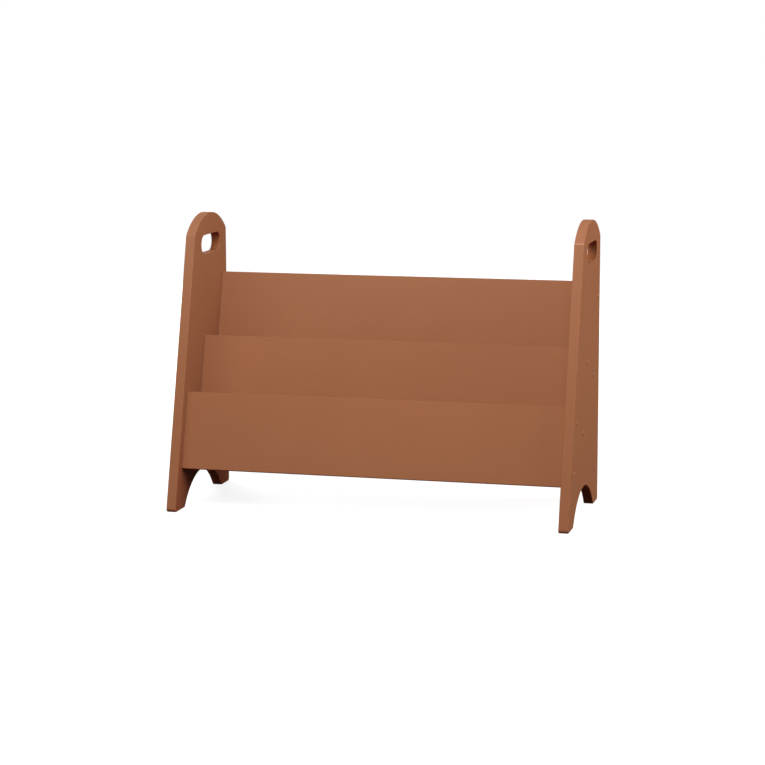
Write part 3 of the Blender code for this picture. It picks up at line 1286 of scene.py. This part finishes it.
        def highlight_strength(face: bpy.types.MeshPolygon) -> float:
            """Work out how strong the painted highlight is on a face: more, the further up and
            forward it lies.

            Args:
                face: The face.

            Returns:
                Its mark.
            """
            forward = Vector((0.0, -1.0, 1.0)).dot(face.center - middle) / reach
            start, full = self.highlight_span
            return self.cap_highlight * min(1.0, max(0.0, (forward - start) / (full - start)))

        mark_faces(cap, Mark.PAINTED_HIGHLIGHT, highlight_strength)

    def build_caps(self, finishes: Finishes) -> None:
        """Build the twelve caps.

        Args:
            finishes: The finishes.
        """
        pattern = self.model_cap()
        for side in Side:
            for name, inwards, up in self.spots():
                cap = copy_of(pattern, f"screw_cap_{side.word}_{name}")
                self.place(cap, side, inwards, up)
                self.mark_highlight(cap)
                soften(cap)
                finishes.hand_over(cap, Slot.PAINTED_CAP, f"cap_{side.word}_{name}")
        delete(pattern)


# The picture


@dataclass(frozen=True)
class Softbox:
    """A square area lamp that looks at the rack."""

    name: str
    place: Place
    size: float
    power: float  # in watts
    aim: Place = (0.0, 0.0, 0.22)

    def build(self) -> None:
        """Hang the lamp."""
        start_fresh()
        bpy.ops.object.light_add(type="AREA", location=self.place)
        lamp = bpy.context.object
        lamp.name = self.name
        lamp.data.shape = "SQUARE"
        lamp.data.size = self.size
        lamp.data.energy = self.power
        way = Vector(self.aim) - Vector(self.place)
        lamp.rotation_euler = way.to_track_quat("-Z", "Y").to_euler()
        lamp.visible_camera = False


@dataclass
class Studio:
    """A pale floor under soft light, with the camera of the photograph."""

    lamps: tuple[Softbox, ...] = (
        Softbox("key_light", (0.0, -0.964, 1.369), 0.5, 17.6),
        Softbox("near_light", (0.444, -1.221, 0.970), 0.5, 5.4),
        Softbox("right_light", (1.294, 0.113, 0.770), 0.5, 4.2),
        Softbox("front_light", (-1.299, -2.250, 1.720), 1.8, 21.2),
        Softbox("side_light", (2.819, 0.0, 1.246), 1.8, 52.0),
        Softbox("rear_light", (-1.70, 2.30, 1.15), 1.8, 100.0),
    )
    ambient: float = 0.018  # the world's light on the rack, where 1 is white
    floor_radius: float = 9.0
    floor_sides: int = 96
    floor_lit: Colour = (0.06, 0.06, 0.06)  # the floor that the light falls on
    floor_seen: Colour = (0.3, 0.3, 0.3)  # the floor that the camera sees
    floor_glow: float = 0.86  # what it glows with near the rack, where 1 is white
    glow_reach: Span = (0.5, 1.6)  # where the glow starts to grow and where it is 1
    focal_pixels: float = 2297.00  # the photograph's focal length
    frame_pixels: float = 765.0  # the photograph's width
    sensor: float = 36.0  # the camera's, in millimetres
    camera_place: Place = (0.89784, -3.41016, 0.76135)
    camera_reach: float = 60.0  # how far the camera sees
    yaw: float = 0.25819
    pitch: float = 0.15917
    roll: float = -0.00266

    def white_rays(self, graph: Graph) -> Value:
        """The rays that see the white background.

        Args:
            graph: The graph to add to.

        Returns:
            1 for camera, glossy and transmission rays, else 0.
        """
        path = graph.node("ShaderNodeLightPath").outputs
        camera, glossy, through = (Value(graph, path[name]) for name in (
            "Is Camera Ray", "Is Glossy Ray", "Is Transmission Ray"))
        return camera.most(glossy).most(through)

    def build_world(self) -> None:
        """White to the camera, and an even grey light on the rack."""
        world = bpy.data.worlds.new("studio")
        bpy.context.scene.world = world
        world.use_nodes = True
        graph = Graph(world.node_tree)
        level = self.ambient + self.white_rays(graph) * (1.0 - self.ambient)
        shine = graph.node("ShaderNodeBackground", None, {"Color": WHITE, "Strength": level})
        graph.node("ShaderNodeOutputWorld", None, {"Surface": shine.outputs[0]})

    def build_floor(self) -> None:
        """A pale floor that shows white where no shadow falls."""
        start_fresh()
        bpy.ops.mesh.primitive_circle_add(vertices=self.floor_sides, radius=self.floor_radius,
                                          fill_type="NGON")
        floor = named("studio_floor")
        material, graph = new_material("studio_floor")
        away = graph.value("ShaderNodeVectorMath", {"operation": "LENGTH"},
                           {0: graph.object_place()}, "Value")
        strength = self.floor_glow + away.between(*self.glow_reach) * (1.0 - self.floor_glow)
        lit = graph.node("ShaderNodeBsdfDiffuse", None, {"Color": opaque(self.floor_lit)})
        pale = graph.node("ShaderNodeBsdfDiffuse", None, {"Color": opaque(self.floor_seen)})
        glow = graph.node("ShaderNodeEmission", None, {"Color": WHITE, "Strength": strength})
        seen = graph.node("ShaderNodeAddShader", None, {0: pale.outputs[0], 1: glow.outputs[0]})
        mixed = graph.node("ShaderNodeMixShader", None, {
            0: self.white_rays(graph), 1: lit.outputs[0], 2: seen.outputs[0]})
        graph.node("ShaderNodeOutputMaterial", None, {"Surface": mixed.outputs[0]})
        floor.data.materials.append(material)

    def build_camera(self) -> None:
        """Set the camera where the photograph was taken from."""
        start_fresh()
        bpy.ops.object.camera_add(location=self.camera_place)
        camera = bpy.context.object
        camera.name = "photo_camera"
        camera.data.sensor_width = self.sensor
        camera.data.lens = self.focal_pixels * self.sensor / self.frame_pixels
        camera.data.clip_end = self.camera_reach
        turn = Matrix.Rotation(self.yaw, 3, "Z")
        turn @= Matrix.Rotation(QUARTER_TURN - self.pitch, 3, "X")
        turn @= Matrix.Rotation(self.roll, 3, "Z")
        camera.rotation_euler = turn.to_euler()
        bpy.context.scene.camera = camera

    def build(self) -> None:
        """Set up floor, light and camera."""
        for lamp in self.lamps:
            lamp.build()
        self.build_world()
        self.build_floor()
        self.build_camera()
        bpy.context.scene.view_settings.view_transform = "Standard"
        LOG.info("studio with %d lamps", len(self.lamps))


def carry_over(nodes: dict[str, bpy.types.Object], finishes: Finishes) -> None:
    """Dress the nodes that stay as they are.

    Args:
        nodes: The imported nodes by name.
        finishes: The finishes.
    """
    for name, item in nodes.items():
        if name.startswith("screw_"):
            finishes.dress(item, Slot.ZINC_STEEL)
        elif name.startswith("dowel_"):
            finishes.dress(item, Slot.BEECH)


def main() -> None:
    """Build the rack and its studio."""
    logging.basicConfig(level=logging.INFO, format="%(message)s")
    for item in list(bpy.data.objects):
        bpy.data.objects.remove(item, do_unlink=True)
    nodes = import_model()["nodes"]
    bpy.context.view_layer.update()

    finishes = Finishes()
    finishes.build()
    layout = Layout()
    fixings = Fixings(layout)
    drills = {side: fixings.screw_drill(side) for side in Side}
    dowels = fixings.dowel_drill()
    EndPanels(layout).build(drills, finishes)
    Boards(layout).build([drills[side] for side in Side], dowels, finishes)
    fixings.build_caps(finishes)
    delete(*drills.values(), dowels)
    carry_over(nodes, finishes)
    Studio().build()


if __name__ == "__main__":
    main()
